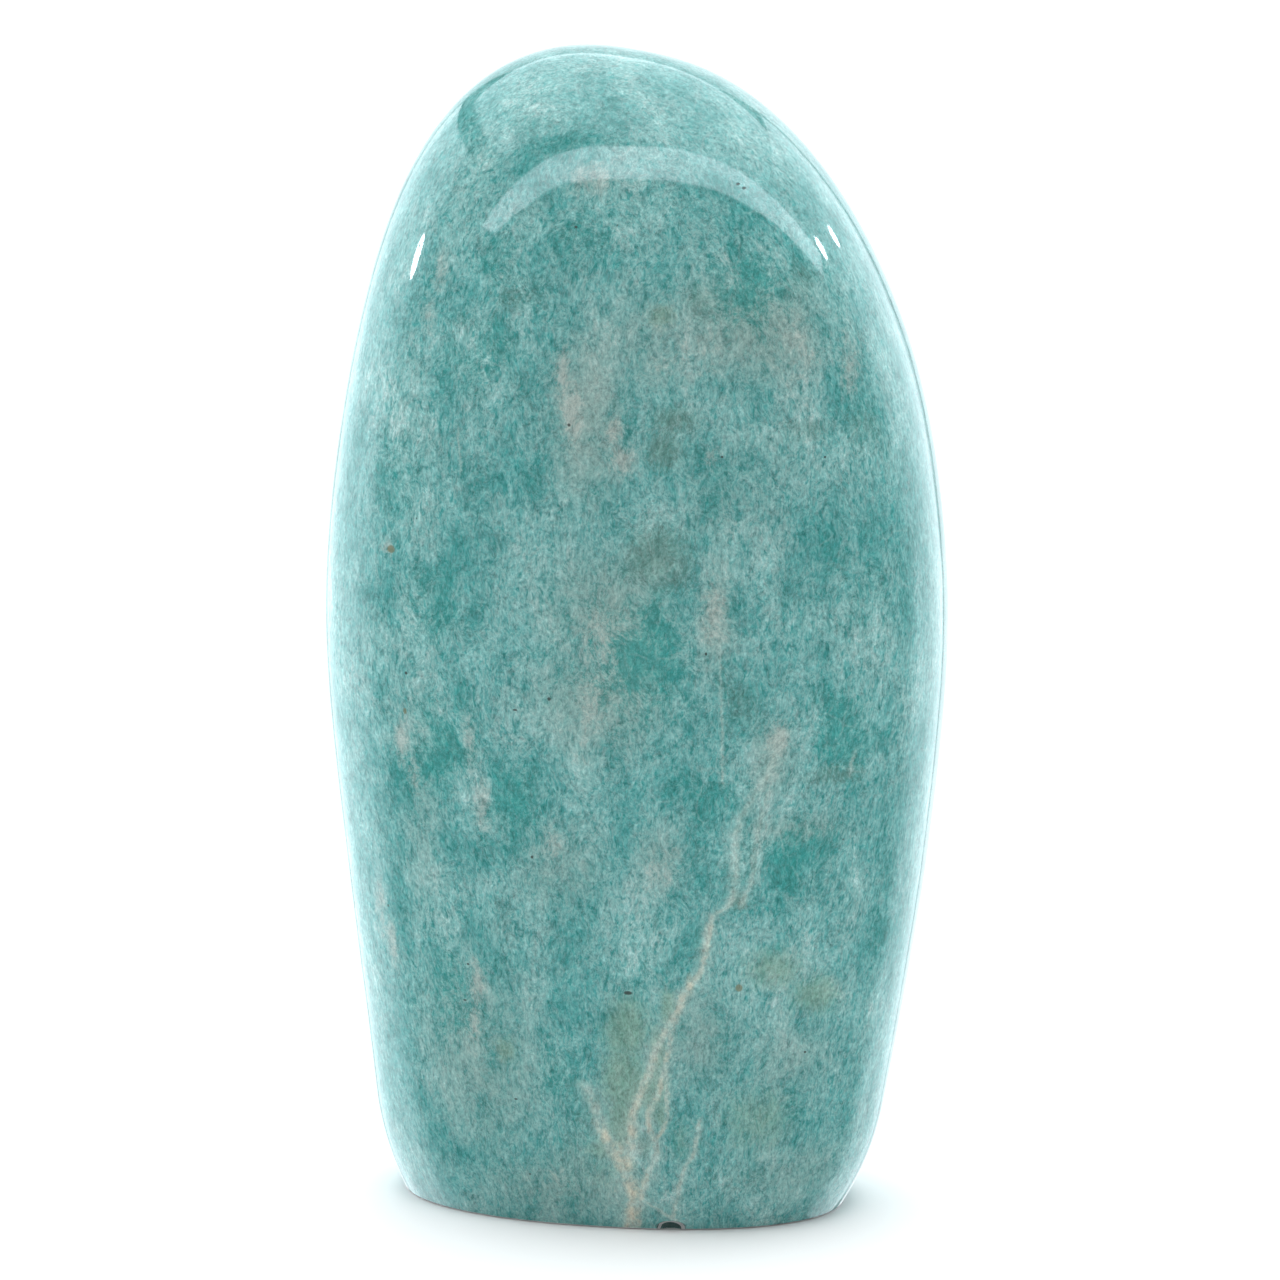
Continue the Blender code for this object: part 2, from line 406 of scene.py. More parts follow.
class StudioLook(bpy.types.PropertyGroup):
    """The camera and the light."""

    lift: angle_prop("Lift", "Camera angle above level", 12.0)
    turn: angle_prop("Turn", "Camera angle to the right", 11.0)
    distance: size_prop("Distance", "From the camera to the stone", 0.75)
    aim_height: size_prop("Aim Height", "Height that the camera looks at", 0.0725)
    aim_side: size_prop("Aim Side", "How far to the right the camera looks", 0.0003)
    sky: share_prop("Sky", "Strength of the light from all round", 0.35)
    overhead: share_prop("Overhead", "Strength of the broad light from above", 2.9)
    overhead_spread: angle_prop("Overhead Spread", "How broad the light from above is", 58.0)


# Node trees written as sums

# The socket that carries each kind of fixed value, where an input without one takes a vector
SOCKET_KINDS = {float: "NodeSocketFloat", int: "NodeSocketInt", type(None): "NodeSocketVector"}


def both_ways(operation):
    """The two methods of an operator, with the wire before it and after it."""
    return lambda wire, other: work(operation, wire, other), lambda wire, other: work(operation, other, wire)


class Wire:
    """An output socket. Sums, products and powers of wires add the nodes that work them out."""

    __add__, __radd__ = both_ways("ADD")
    __sub__, __rsub__ = both_ways("SUBTRACT")
    __mul__, __rmul__ = both_ways("MULTIPLY")
    __truediv__, __rtruediv__ = both_ways("DIVIDE")
    __pow__, __rpow__ = both_ways("POWER")

    def __init__(self, socket):
        self.socket = socket
        self.tree = socket.id_data

    def __abs__(self):
        return work("ABSOLUTE", self)


def plug(value, socket):
    """Links a wire to a socket, or sets the socket to a fixed value."""
    if isinstance(value, Wire):
        value.tree.links.new(value.socket, socket)
    elif socket.type == "VECTOR" and isinstance(value, (int, float)):
        socket.default_value = (value, value, value)
    elif socket.type == "RGBA" and len(value) == 3:
        socket.default_value = (*value, 1.0)
    else:
        socket.default_value = value


def work(operation, *values):
    """One Math node, or a Vector Math node where a value is a vector."""
    wires = [v for v in values if isinstance(v, Wire)]
    vector = any(isinstance(v, tuple) for v in values)
    vector = vector or any(w.socket.type in ("VECTOR", "RGBA") for w in wires)
    node = wires[0].tree.nodes.new("ShaderNodeVectorMath" if vector else "ShaderNodeMath")
    node.operation = operation
    for value, socket in zip(values, node.inputs):
        plug(value, socket)
    return Wire(next(s for s in node.outputs if s.enabled))


def add_node(tree, kind, inputs, **settings):
    """A node with its settings, and with its inputs plugged by name or number."""
    node = tree.nodes.new(kind)
    for name, value in settings.items():
        setattr(node, name, value)
    for key, value in inputs.items():
        plug(value, node.inputs[key])
    return node


def first_output(tree, kind, inputs, **settings):
    """The first output of a new node."""
    return Wire(add_node(tree, kind, inputs, **settings).outputs[0])


def apart(vector):
    """The three parts of a vector."""
    return tuple(Wire(s) for s in add_node(vector.tree, "ShaderNodeSeparateXYZ", {0: vector}).outputs)


def together(tree, x, y, z):
    """A vector from its three parts."""
    return first_output(tree, "ShaderNodeCombineXYZ", {0: x, 1: y, 2: z})


def larger(first, second):
    """The larger of two values."""
    return work("MAXIMUM", first, second)


def span(value, start, end, low=0.0, high=1.0, kind="SMOOTHSTEP"):
    """Goes from low to high while the value goes from start to end, and stays there outside."""
    inputs = {0: value, 1: start, 2: end, 3: low, 4: high}
    return first_output(value.tree, "ShaderNodeMapRange", inputs, interpolation_type=kind)


def noise(point, size, detail, roughness, distortion=0.0, output="Fac"):
    """Cloudy noise about 0.5, with lumps of about the given size."""
    inputs = {"Vector": point, "Detail": detail, "Roughness": roughness, "Distortion": distortion}
    node = add_node(point.tree, "ShaderNodeTexNoise", inputs)
    plug(1.0 / size, node.inputs["Scale"])
    return Wire(node.outputs[output])


def blend(factor, first, second):
    """A mix of two colours."""
    inputs = {0: factor, 6: first, 7: second}
    return Wire(add_node(factor.tree, "ShaderNodeMix", inputs, data_type="RGBA").outputs[2])


def new_group(name, kind, inputs, outputs, output_kind="NodeSocketFloat"):
    """A node group with named inputs: its tree, a wire for each input, and its output node."""
    tree = bpy.data.node_groups.new(name, kind)
    for label, default in inputs.items():
        socket_type = SOCKET_KINDS[type(default)]
        socket = tree.interface.new_socket(name=label, in_out="INPUT", socket_type=socket_type)
        if default is not None:
            socket.default_value = default
    for label in outputs:
        tree.interface.new_socket(name=label, in_out="OUTPUT", socket_type=output_kind)
    source = tree.nodes.new("NodeGroupInput")
    return tree, {label: Wire(source.outputs[label]) for label in inputs}, tree.nodes.new("NodeGroupOutput")


def place_group(tree, group, values):
    """Places a node group in a tree, and gives a wire for each of its outputs."""
    kinds = {"GeometryNodeTree": "GeometryNodeGroup", "ShaderNodeTree": "ShaderNodeGroup"}
    node = tree.nodes.new(kinds[group.bl_idname])
    node.node_tree = group
    for name, value in values.items():
        plug(value, node.inputs[name])
    return {s.name: Wire(s) for s in node.outputs}


# The ground form, as a geometry node tree


def form_inputs():
    """The tree inputs that carry the form's sizes, one for each property."""
    return {p.keywords["name"]: p.keywords["default"] for p in StoneForm.__annotations__.values()}


def fullness_group():
    """Below 1 inside the ground form, 1 on its surface, above 1 outside it."""
    inputs = {"Point": None, **form_inputs()}
    tree, form, result = new_group("Stone fullness", "GeometryNodeTree", inputs, ["Fullness"])
    x, y, z = apart(form["Point"])
    z = z + form["Crown Tilt"] * x * span(z, form["Crown Tilt Start"], form["Height"])
    below = 1.0 - z / form["Swell Height"]
    below = (below + (below * below + form["Swell Softness"] * form["Swell Softness"]) ** 0.5) * 0.5
    tuck = form["Tuck"] * larger(1.0 - z / form["Tuck Height"], 0.0) ** 2.0
    share = work("MINIMUM", larger(z / form["Height"], 0.0), NEARLY_ONE)
    wide = 1.0 - (1.0 - form["Foot Width Share"]) * below - tuck
    deep = 1.0 - (1.0 - form["Foot Depth Share"]) * below - tuck
    wide = wide * (1.0 - share ** form["Crown Width Power"]) ** form["Crown Width Round"]
    deep = deep * (1.0 - share ** form["Crown Depth Power"]) ** form["Crown Depth Round"]
    half_width = form["Width"] * 0.5 * wide
    back = work("GREATER_THAN", y, 0.0)
    half_depth = form["Depth"] * 0.5 * deep * (1.0 + (form["Back Fullness"] - 1.0) * back)
    side = form["Foot Offset"] * larger(1.0 - z / form["Foot Offset Reach"], 0.0) ** 2.0
    power = form["Foot Squareness"]
    power = power + (form["Body Squareness"] - form["Foot Squareness"]) * span(z, 0.0, form["Body Start"])
    rise = span(z, form["Body End"], form["Height"])
    power = power + (form["Crown Squareness"] - form["Body Squareness"]) * rise
    full = abs((x - side) / half_width) ** power + abs(y / half_depth) ** power
    above = work("GREATER_THAN", z, form["Height"])
    plug(full * (1.0 - above) + above * OUTSIDE, result.inputs["Fullness"])
    return tree


def position(tree):
    """Where each point of the mesh lies."""
    return first_output(tree, "GeometryNodeInputPosition", {})


def store(geometry, name, value, kind="FLOAT"):
    """Keeps a value on every point of the mesh under a name."""
    inputs = {"Geometry": geometry, "Name": name, "Value": value}
    return first_output(geometry.tree, "GeometryNodeStoreNamedAttribute", inputs, data_type=kind)


def stored(tree, name, kind="FLOAT"):
    """The value kept under a name."""
    return first_output(tree, "GeometryNodeInputNamedAttribute", {"Name": name}, data_type=kind)


def move_points(geometry, place):
    inputs = {"Geometry": geometry, "Position": place}
    return first_output(geometry.tree, "GeometryNodeSetPosition", inputs)


def find_reach(geometry, start, way, form, fullness):
    """A halving search, in a repeat zone, for the distance along each way to the ground surface."""
    tree = geometry.tree
    geometry = store(geometry, "way", way, "FLOAT_VECTOR")
    geometry = store(geometry, "reach", 0.0)
    opening = tree.nodes.new("GeometryNodeRepeatInput")
    closing = tree.nodes.new("GeometryNodeRepeatOutput")
    opening.pair_with_output(closing)
    closing.repeat_items.new("FLOAT", "Step")
    plug(SEARCH_STEPS, opening.inputs["Iterations"])
    plug(geometry, opening.inputs["Geometry"])
    plug(SEARCH_REACH / 2.0, opening.inputs["Step"])
    step = Wire(opening.outputs["Step"])
    reach = stored(tree, "reach")
    point = start + stored(tree, "way", "FLOAT_VECTOR") * (reach + step)
    full = place_group(tree, fullness, {"Point": point, **form})["Fullness"]
    onward = reach + step * work("LESS_THAN", full, 1.0)
    plug(store(Wire(opening.outputs["Geometry"]), "reach", onward), closing.inputs["Geometry"])
    plug(step * 0.5, closing.inputs["Step"])
    return Wire(closing.outputs["Geometry"])


def relief_height(tree, form):
    """Height of the polished surface's slight unevenness, over the form."""
    place = position(tree)
    moved = place + form["Seed"] * SEED_STEP
    low_part = span(apart(place)[2], *RELIEF_FADE)
    broad = (noise(moved, form["Relief Size"], 1.0, 0.4) - 0.5) * form["Relief"]
    fine = (noise(moved, form["Ripple Size"], 1.0, 0.5) - 0.5) * form["Ripple"]
    away = work("LENGTH", place - DENT_PLACE)
    dent = span(away, 0.0, DENT_RADIUS, 1.0, 0.0) * form["Dent"]
    return (broad + fine - dent) * low_part


def ground_stone_tree(material):
    """A gridded block whose points move out to the ground form, and then to its relief."""
    tree, form, result = new_group(
        "Ground stone", "GeometryNodeTree", form_inputs(), ["Geometry"], "NodeSocketGeometry"
    )
    fullness = fullness_group()
    axes = (("X", "Facets Across"), ("Y", "Facets Through"), ("Z", "Facets Up"))
    counts = {f"Vertices {axis}": form[label] + 1.0 for axis, label in axes}
    block = first_output(tree, "GeometryNodeMeshCube", {"Size": BLOCK_SIZE, **counts})
    geometry = store(block, "block", position(tree), "FLOAT_VECTOR")
    bx, by, bz = apart(stored(tree, "block", "FLOAT_VECTOR"))
    flat_x = bx * form["Width"] * 0.5
    flat_y = by * form["Depth"] * 0.5
    length = larger((flat_x * flat_x + flat_y * flat_y) ** 0.5, TINY)
    level = together(tree, flat_x / length, flat_y / length, 0.0)
    geometry = find_reach(geometry, (0.0, 0.0, 0.0), level, form, fullness)
    geometry = store(geometry, "foot", stored(tree, "reach"))
    foot = stored(tree, "foot")

    # Underside: the block's square outline becomes the outline of the cut base
    base = level * (foot * larger(abs(bx), abs(by)))

    # Walls and crown: each line's slope runs from the base edge to the top of the block
    rise = (bz + 1.0) * 0.5
    slope = rise * (form["Height"] - form["Heart Height"]) / length
    slope = slope - (1.0 - rise) * form["Heart Height"] / foot
    way = work("NORMALIZE", together(tree, flat_x, flat_y, slope * length))
    heart = together(tree, 0.0, 0.0, form["Heart Height"])
    geometry = find_reach(geometry, heart, way, form, fullness)
    wall = heart + stored(tree, "way", "FLOAT_VECTOR") * stored(tree, "reach")
    under = work("LESS_THAN", bz, -BLOCK_EDGE)
    geometry = move_points(geometry, base * under + wall * (1.0 - under))

    # The form gets its stated size, with the middle of its box over the origin
    box = add_node(tree, "GeometryNodeBoundBox", {"Geometry": geometry})
    low, high = Wire(box.outputs["Min"]), Wire(box.outputs["Max"])
    mid_x, mid_y, _ = apart((low + high) * 0.5)
    middle = together(tree, mid_x, mid_y, apart(low)[2])
    wanted = together(tree, form["Width"], form["Depth"], form["Height"])
    geometry = move_points(geometry, (position(tree) - middle) * wanted / (high - low))

    normal = first_output(tree, "GeometryNodeInputNormal", {})
    geometry = move_points(geometry, position(tree) + normal * relief_height(tree, form))
    for name in ("block", "way", "reach", "foot"):
        geometry = first_output(tree, "GeometryNodeRemoveAttribute", {"Geometry": geometry, "Name": name})
    geometry = first_output(tree, "GeometryNodeRealizeInstances", {"Geometry": geometry})
    inputs = {"Geometry": geometry, "Material": material}
    plug(first_output(tree, "GeometryNodeSetMaterial", inputs), result.inputs["Geometry"])
    return tree


def ground_mesh(settings, material):
    """The ground form as a plain mesh, worked out by its node tree."""
    carrier = add_object("stone_blank", bpy.data.meshes.new("stone_blank"))
    modifier = carrier.modifiers.new("Ground stone", "NODES")
    modifier.node_group = ground_stone_tree(material)
    sockets = modifier.node_group.interface.items_tree
    identifiers = {s.name: s.identifier for s in sockets if s.in_out == "INPUT"}
    for key, prop in StoneForm.__annotations__.items():
        modifier[identifiers[prop.keywords["name"]]] = getattr(settings, key)
    evaluated = carrier.evaluated_get(bpy.context.evaluated_depsgraph_get())
    mesh = bpy.data.meshes.new_from_object(evaluated)
    if len(mesh.vertices) == 0:
        raise RuntimeError("the stone's node tree made no mesh")
    bpy.data.objects.remove(carrier)
    return mesh


# The camera's view, which also says where a pixel falls on the stone


def camera_axes(look):
    """The camera's place and its right, up and forward directions."""
    out = Vector((math.sin(look.turn), -math.cos(look.turn), 0.0))
    right = Vector((math.cos(look.turn), math.sin(look.turn), 0.0))
    target = look.aim_side * right + Vector((0.0, 0.0, look.aim_height))
    forward = -(out * math.cos(look.lift) + Vector((0.0, 0.0, math.sin(look.lift))))
    return target - forward * look.distance, right, right.cross(forward), forward


def on_face(tree, look, across, down):
    """The place on the stone that a pixel shows."""
    place, right, up, forward = camera_axes(look)
    focus = PIXELS_PER_MM / MM * look.distance
    half = FRAME_PIXELS / 2
    way = forward + right * ((across - half) / focus) - up * ((down - half) / focus)
    hit = tree.ray_cast(place, way.normalized())[0]
    if hit is None:
        raise RuntimeError(f"pixel {across}, {down} isn't on the stone")
    return hit


# The stone


def grind_base_edge(bm):
    """Rounds the edge between the cut base and the walls."""
    rim = [
        e for e in bm.edges
        if len(e.link_faces) == 2
        and max(v.co.z for v in e.verts) < EDGE_HEIGHT
        and e.calc_face_angle() > EDGE_ANGLE
    ]
    bmesh.ops.bevel(
        bm,
        geom=rim,
        offset=EDGE_BEVEL,
        offset_type="OFFSET",
        segments=EDGE_SEGMENTS,
        profile=EDGE_PROFILE,
        affect="EDGES",
    )


def break_chip(bm, centre):
    """Scoops a small chip out of the base edge, on facets made finer round it."""
    near = [e for e in bm.edges if all((v.co - centre).length < CHIP_FINE_REACH for v in e.verts)]
    bmesh.ops.subdivide_edges(bm, edges=near, cuts=CHIP_FINE_CUTS, use_grid_fill=True)
    inward = CHIP_INWARD.normalized()
    radii = Vector(CHIP_RADII)
    for vert in bm.verts:
        place = Vector(c / r for c, r in zip(vert.co - centre, radii))
        if place.length < 1.0:
            way = Vector(c / r for c, r in zip(inward, radii))
            a = way.dot(way)
            b = place.dot(way)
            travel = (-b + math.sqrt(b * b - a * (place.dot(place) - 1.0))) / a
            vert.co += inward * travel


def paint(mesh, name, values):
    """Keeps a mask on the stone's points, for the finish to read."""
    attribute = mesh.attributes.new(name, "FLOAT", "POINT")
    attribute.data.foreach_set("value", np.asarray(values, np.float32))


def patch_mask(points, centres, patches):
    """Soft lumps of one kind of patch, the strongest counting at every point of the stone."""
    total = np.zeros(len(points))
    for centre, (_, _, half_width, half_height, strength) in zip(centres, patches):
        radii = np.array((half_width / PIXELS_PER_MM * MM, PATCH_DEPTH, half_height / PIXELS_PER_MM * MM))
        away = np.sum(((points - centre) / radii) ** 2, axis=1)
        total = np.maximum(total, strength * np.exp(-PATCH_FALL * away))
    return total


class AMAZONITE_OT_stone(bpy.types.Operator):
    """Makes the stone from its node tree and gives it its natural colours and polish"""

    bl_idname = "amazonite.stone"
    bl_label = "Amazonite stone"

    def execute(self, context):
        scene = context.scene
        look = scene.amazonite_look
        material = bpy.data.materials.new("polished_amazonite")
        mesh = ground_mesh(scene.amazonite_form, material)
        mesh.name = "amazonite_body"
        bm = bmesh.new()
        bm.from_mesh(mesh)
        tree = BVHTree.FromBMesh(bm)
        chip = on_face(tree, look, *CHIP_PIXEL)
        grind_base_edge(bm)
        break_chip(bm, chip)
        bmesh.ops.recalc_face_normals(bm, faces=bm.faces)
        bm.to_mesh(mesh)
        bm.free()

        points = np.array([v.co for v in mesh.vertices])
        for name, (patches, *_) in PATCH_KINDS.items():
            centres = [on_face(tree, look, across, down) for across, down, *_ in patches]
            paint(mesh, name, patch_mask(points, centres, patches))
        # The chip's mask carries painted shade as well as the colour and dullness of the break
        scooped = np.sum(((points - chip) / CHIP_RADII) ** 2, axis=1)
        paint(mesh, "chip", np.clip(CHIP_BREAK_AND_SHADE_SHARPNESS * (CHIP_BREAK_AND_SHADE_REACH - scooped), 0.0, 1.0))
        mesh.shade_smooth()
        mesh.set_sharp_from_angle(angle=EDGE_ANGLE)

        finish_stone(material, scene.amazonite_finish, lambda pixel: on_face(tree, look, *pixel))
        stone = add_object("amazonite_body", mesh)
        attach(stone, "root")
        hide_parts("amazonite_stone")
        return {"FINISHED"}


# The finish


def fibre_group():
    """Pale threads, dark gaps and cloudy veils that run along the stone and draw in with its foot."""
    inputs = {
        "Point": None,
        "Narrowing Height": 70.0,
        "Narrowing": 0.005,
        "Wander Size": 6.0,
        "Wander": 2.4,
        "Cloud Size": 9.0,
        "Thread Size": 1.5,
        "Hair Size": 0.9,
        "Gap Size": 0.85,
        "Mottle Size": 3.6,
        "Grain Size": 0.55,
    }
    names = ("Cloud", "Threads", "Hairs", "Gaps", "Mottle", "Grain")
    tree, wires, result = new_group("Feldspar fibres", "ShaderNodeTree", inputs, names)
    x, y, z = apart(wires["Point"])
    below = work("MINIMUM", z - wires["Narrowing Height"], 0.0)
    follow = together(tree, x * (1.0 - below * wires["Narrowing"]), y * 1.2, z * 0.66)
    wander = noise(follow, wires["Wander Size"], 3.0, 0.6, output="Color") - 0.5
    bent = follow + wander * wires["Wander"]
    ridge = noise(bent * (1.0, 1.5, 0.6), wires["Thread Size"], 4.0, 0.68, 0.7)
    hair = noise(bent * (1.0, 1.2, 0.8) + HAIR_SHIFT, wires["Hair Size"], 3.0, 0.75, 0.5)
    gap = noise(bent * (1.0, 1.2, 0.75) + GAP_SHIFT, wires["Gap Size"], 2.0, 0.7, 0.4)
    values = (
        noise(bent, wires["Cloud Size"], 6.0, 0.74, 0.25),
        span(abs(ridge - 0.5) * 2.0, 0.0, 0.34, 1.0, 0.0),
        span(abs(hair - 0.5) * 2.0, 0.0, 0.22, 1.0, 0.0),
        span(gap, 0.55, 0.68),
        noise(bent * (1.0, 1.0, 1.2) + MOTTLE_SHIFT, wires["Mottle Size"], 5.0, 1.0, 0.3),
        noise(bent + GRAIN_SHIFT, wires["Grain Size"], 2.0, 0.95),
    )
    for name, value in zip(names, values):
        plug(value, result.inputs[name])
    return tree


def web_group():
    """Fine light cracks between irregular cells."""
    inputs = {"Point": None, "Cell Size": 4.0, "Line Width": 0.045}
    tree, wires, result = new_group("Healed cracks", "ShaderNodeTree", inputs, ["Cracks"])
    bent = wires["Point"] + (noise(wires["Point"], 2.2, 3.0, 0.6, output="Color") - 0.5) * 1.5
    stretched = bent * (1.0, 1.0, 0.7)
    node = add_node(tree, "ShaderNodeTexVoronoi", {"Vector": stretched}, feature="DISTANCE_TO_EDGE")
    plug(1.0 / wires["Cell Size"], node.inputs["Scale"])
    line = span(Wire(node.outputs["Distance"]), 0.0, wires["Line Width"], 1.0, 0.0)
    broken = span(noise(wires["Point"] + CRACK_SHIFT, 3.0, 3.0, 0.6), 0.42, 0.62)
    plug(line * broken, result.inputs["Cracks"])
    return tree


def sprinkle_group():
    """Small round specks, sparse and of uneven size."""
    inputs = {"Point": None, "Spacing": 4.2, "Radius": 0.15, "Share": 0.5}
    tree, wires, result = new_group("Sprinkled specks", "ShaderNodeTree", inputs, ["Specks"])
    node = add_node(tree, "ShaderNodeTexVoronoi", {"Vector": wires["Point"]}, feature="F1")
    plug(1.0 / wires["Spacing"], node.inputs["Scale"])
    chance, spread, _ = apart(Wire(node.outputs["Color"]))
    away = Wire(node.outputs["Distance"]) * wires["Spacing"]
    radius = wires["Radius"] * (0.5 + spread)
    dot = 1.0 - span(away, radius * 0.6, radius)
    plug(dot * work("LESS_THAN", chance, wires["Share"]), result.inputs["Specks"])
    return tree


def vein_mask(point, edge, course, widths, strengths, warmths):
    """A vein as a thin sheet through the stone: its mask, its warmth and the haze round it."""
    x, y, z = apart(point)
    heights = [p.z / MM for p in course]
    sides = [(p.x + VEIN_SLANT * p.y) / MM for p in course]
    bottom, top = min(heights), max(heights)
    left, right = min(sides) - VEIN_MARGIN, max(sides) + VEIN_MARGIN
    along = span(z, bottom, top, kind="LINEAR")
    node = add_node(point.tree, "ShaderNodeFloatCurve", {"Value": along})
    curve = node.mapping.curves[0]
    shares = [(h - bottom) / (top - bottom) for h in heights]
    stops = sorted(zip(shares, ((s - left) / (right - left) for s in sides)))
    curve.points[0].location = stops[0]
    curve.points[1].location = stops[-1]
    for stop in stops[1:-1]:
        curve.points.new(*stop)
    for stop in curve.points:
        stop.handle_type = "AUTO_CLAMPED"
    node.mapping.update()
    middle = Wire(node.outputs[0]) * (right - left) + left
    away = abs(x + y * VEIN_SLANT + edge - middle)
    width, strength, warmth = (
        span(along, 0.0, 1.0, lower, upper, "LINEAR") for upper, lower in (widths, strengths, warmths)
    )
    ends = span(z, bottom + LOWER_END[0], bottom + LOWER_END[1])
    ends = ends * span(z, top + UPPER_END[0], top + UPPER_END[1], 1.0, 0.0)
    mask = span(away, width * VEIN_CORE, width * VEIN_EDGE, 1.0, 0.0) * strength * ends
    haze = span(away, 0.0, width * VEIN_HAZE, 1.0, 0.0) * strength * ends
    return mask, mask * warmth, haze


def spot_mask(point, spots, place_of, fade):
    """Small spots at named places, as one mask."""
    masks = []
    for across, down, half_width, half_height in spots:
        radii = (half_width, max(half_width, THINNEST_SPECK), half_height)
        away = work("LENGTH", (point - tuple(place_of((across, down)) / MM)) / radii)
        masks.append(span(away, *fade, 1.0, 0.0))
    return functools.reduce(larger, masks)


def veil_colour(fibres, colours):
    """The colour of the body, from deep gaps to pale wisps, by how thick the threads lie."""
    pale = (fibres["Cloud"] - 0.5) * CLOUD_WEIGHT + (fibres["Threads"] - MEAN_THREAD) * THREAD_WEIGHT
    pale = pale + (fibres["Hairs"] - MEAN_HAIR) * HAIR_WEIGHT - fibres["Gaps"] * GAP_WEIGHT + VEIL_LEVEL
    ramp = add_node(pale.tree, "ShaderNodeValToRGB", {"Fac": pale})
    stops = ramp.color_ramp.elements
    stops[0].position = COLOUR_STOPS["darkest"]
    stops[1].position = COLOUR_STOPS["palest"]
    for name in ("teal", "middle", "pale"):
        stops.new(COLOUR_STOPS[name])
    for stop, name in zip(stops, COLOUR_STOPS):
        stop.color = (*getattr(colours, name), 1.0)
    return Wire(ramp.outputs["Color"])


def lay_patches(body, fibres, colours):
    """Lays the patches over the body, frayed by its cloud and mottle."""
    ragged = (fibres["Cloud"] - 0.5) * FRAY_BY_CLOUD + (fibres["Mottle"] - 0.5) * FRAY_BY_MOTTLE
    for name, (_, strength, fray, (start, end)) in PATCH_KINDS.items():
        mask = painted(body.tree, name) + ragged * fray
        body = blend(span(mask, start, end) * strength, body, getattr(colours, name))
    return body


def lay_cracks(body, point, colours):
    """Lays healed cracks over the body, most of them on the right."""
    rightward = span(apart(point)[0], *CRACK_ZONE, FEWEST_CRACKS, 1.0)
    cracks = place_group(body.tree, web_group(), {"Point": point})["Cracks"]
    return blend(cracks * rightward * CRACK_STRENGTH, body, colours.palest)


def lay_veins(body, point, colours, place_of):
    """Lays the veins over the body: a pale haze, a broken whitish filling and warmer stretches."""
    edge = (noise(point, 1.4, 4.0, 0.85) - 0.5) * 1.5
    masks = []
    for course, *measures in VEINS.values():
        masks.append(vein_mask(point, edge, [place_of(pixel) for pixel in course], *measures))
    line, warm, haze = (functools.reduce(larger, kind) for kind in zip(*masks))
    broken = span(noise(point + FILLING_SHIFT, 1.1, 3.0, 0.8), 0.32, 0.62, 0.25, 1.0)
    warmer = span(noise(point + WARMTH_SHIFT, 1.6, 3.0, 0.7), 0.38, 0.7)
    body = blend(haze * HAZE_STRENGTH, body, colours.vein_pale)
    body = blend(line * broken * FILLING_STRENGTH, body, colours.vein_pale)
    body = blend(warm * warmer * WARM_STRENGTH, body, colours.vein_warm)
    lumps = spot_mask(point, CREAM_LUMPS, place_of, LUMP_FADE)
    return blend(lumps * broken * LUMP_STRENGTH, body, colours.vein_warm)


def painted(tree, name):
    """A mask that was painted on the stone's points."""
    return Wire(add_node(tree, "ShaderNodeAttribute", {}, attribute_name=name).outputs["Fac"])


def finish_stone(material, colours, place_of):
    """The whole finish: veils of threads over a clear body, patches, cracks, veins and specks."""
    material.use_nodes = True
    tree = material.node_tree
    shader = tree.nodes["Principled BSDF"]
    point = Wire(tree.nodes.new("ShaderNodeTexCoord").outputs["Object"]) / MM
    fibres = place_group(tree, fibre_group(), {"Point": point})
    chip = painted(tree, "chip")
    body = veil_colour(fibres, colours)
    body = lay_patches(body, fibres, colours)
    body = lay_cracks(body, point, colours)
    body = lay_veins(body, point, colours, place_of)

    # Fine grain, light and dark alike
    grain = fibres["Grain"] - 0.5
    body = body * (1.0 + grain * GRAIN_CONTRAST + (fibres["Mottle"] - 0.5) * MOTTLE_CONTRAST)

    # Specks
    rust = spot_mask(point, RUST_SPECKS, place_of, SPECK_FADE)
    body = blend(rust * (RUST_STRENGTH + fibres["Grain"] * RUST_BY_GRAIN), body, colours.rust)
    sprinkled = place_group(tree, sprinkle_group(), {"Point": point})["Specks"] * SPRINKLE_STRENGTH
    dark = larger(spot_mask(point, DARK_SPECKS, place_of, SPECK_FADE), sprinkled)
    body = blend(dark * SPECK_STRENGTH, body, colours.speck)
    # The chip: an unpolished break, painted darker as painted shade for the shade inside the notch
    body = blend(chip, body, colours.chip)
    plug(body, shader.inputs["Base Color"])

    # Polish, dulled on the cut base, in the chip and at the specks
    base = span(apart(point)[2], *DULL_HEIGHTS, 1.0, 0.0)
    dull = larger(larger(base * BASE_DULLNESS, chip * CHIP_DULLNESS), dark * SPECK_DULLNESS)
    plug(dull + colours.polish + grain * GRAIN_DULLNESS, shader.inputs["Roughness"])
    inputs = {"Strength": PIT_STRENGTH, "Distance": PIT_DEPTH, "Height": 1.0 - dark}
    plug(first_output(tree, "ShaderNodeBump", inputs), shader.inputs["Normal"])
    shader.inputs["IOR"].default_value = STONE_IOR


# The studio


